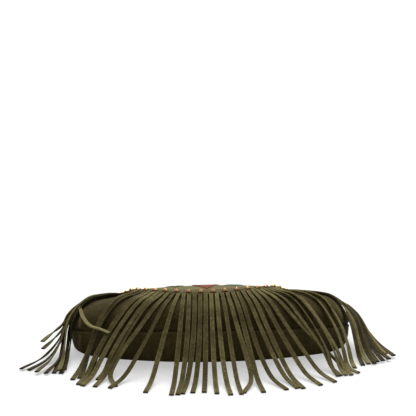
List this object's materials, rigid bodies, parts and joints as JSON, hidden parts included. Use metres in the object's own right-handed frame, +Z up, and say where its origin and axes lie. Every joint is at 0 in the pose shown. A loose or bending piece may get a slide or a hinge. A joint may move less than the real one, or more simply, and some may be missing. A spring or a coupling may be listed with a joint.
{
  "type": "handbag",
  "caption": "Soft suede flap handbag lying on its back, with a cut fringe and pyramid studs round the flap's edge.",
  "frame": {"origin": "on the flat of the back panel that the bag lies on, half way up the bag, on its middle line", "axes": "+Z up out of the flap as the bag lies, -Y towards the base, +Y towards the mouth, +X to the right seen from the base"},
  "size_m": [0.3722, 0.2943, 0.0682],
  "materials": {
    "body_suede": "brushed suede nap, matt",
    "flap_suede": "brushed suede nap, matt",
    "fringe_suede": "cut suede strips, matt",
    "stud_brass": "polished, slightly worn",
    "patch_rust": "brushed suede nap, matt",
    "patch_pink": "brushed suede nap, matt",
    "patch_moss": "brushed suede nap, matt",
    "patch_teal": "brushed suede nap, matt"
  },
  "bodies": {
    "root": {"front_panel": "body_suede", "back_panel": "body_suede", "flap": "flap_suede", "fringe": "fringe_suede", "patch_middle": "patch_rust", "patch_crown": "patch_pink", "patch_left": "patch_moss", "patch_right": "patch_teal", "patch_far_left": "patch_teal", "patch_far_right": "patch_moss", "stud_01": "stud_brass", "stud_02": "stud_brass", "stud_03": "stud_brass", "stud_04": "stud_brass", "stud_05": "stud_brass", "stud_06": "stud_brass", "stud_07": "stud_brass", "stud_08": "stud_brass", "stud_09": "stud_brass", "stud_10": "stud_brass", "stud_11": "stud_brass", "stud_12": "stud_brass", "stud_13": "stud_brass", "stud_14": "stud_brass", "stud_15": "stud_brass", "stud_16": "stud_brass", "stud_17": "stud_brass", "stud_18": "stud_brass", "stud_19": "stud_brass", "stud_20": "stud_brass", "stud_21": "stud_brass", "stud_22": "stud_brass", "stud_23": "stud_brass"}
  },
  "joints": []
}
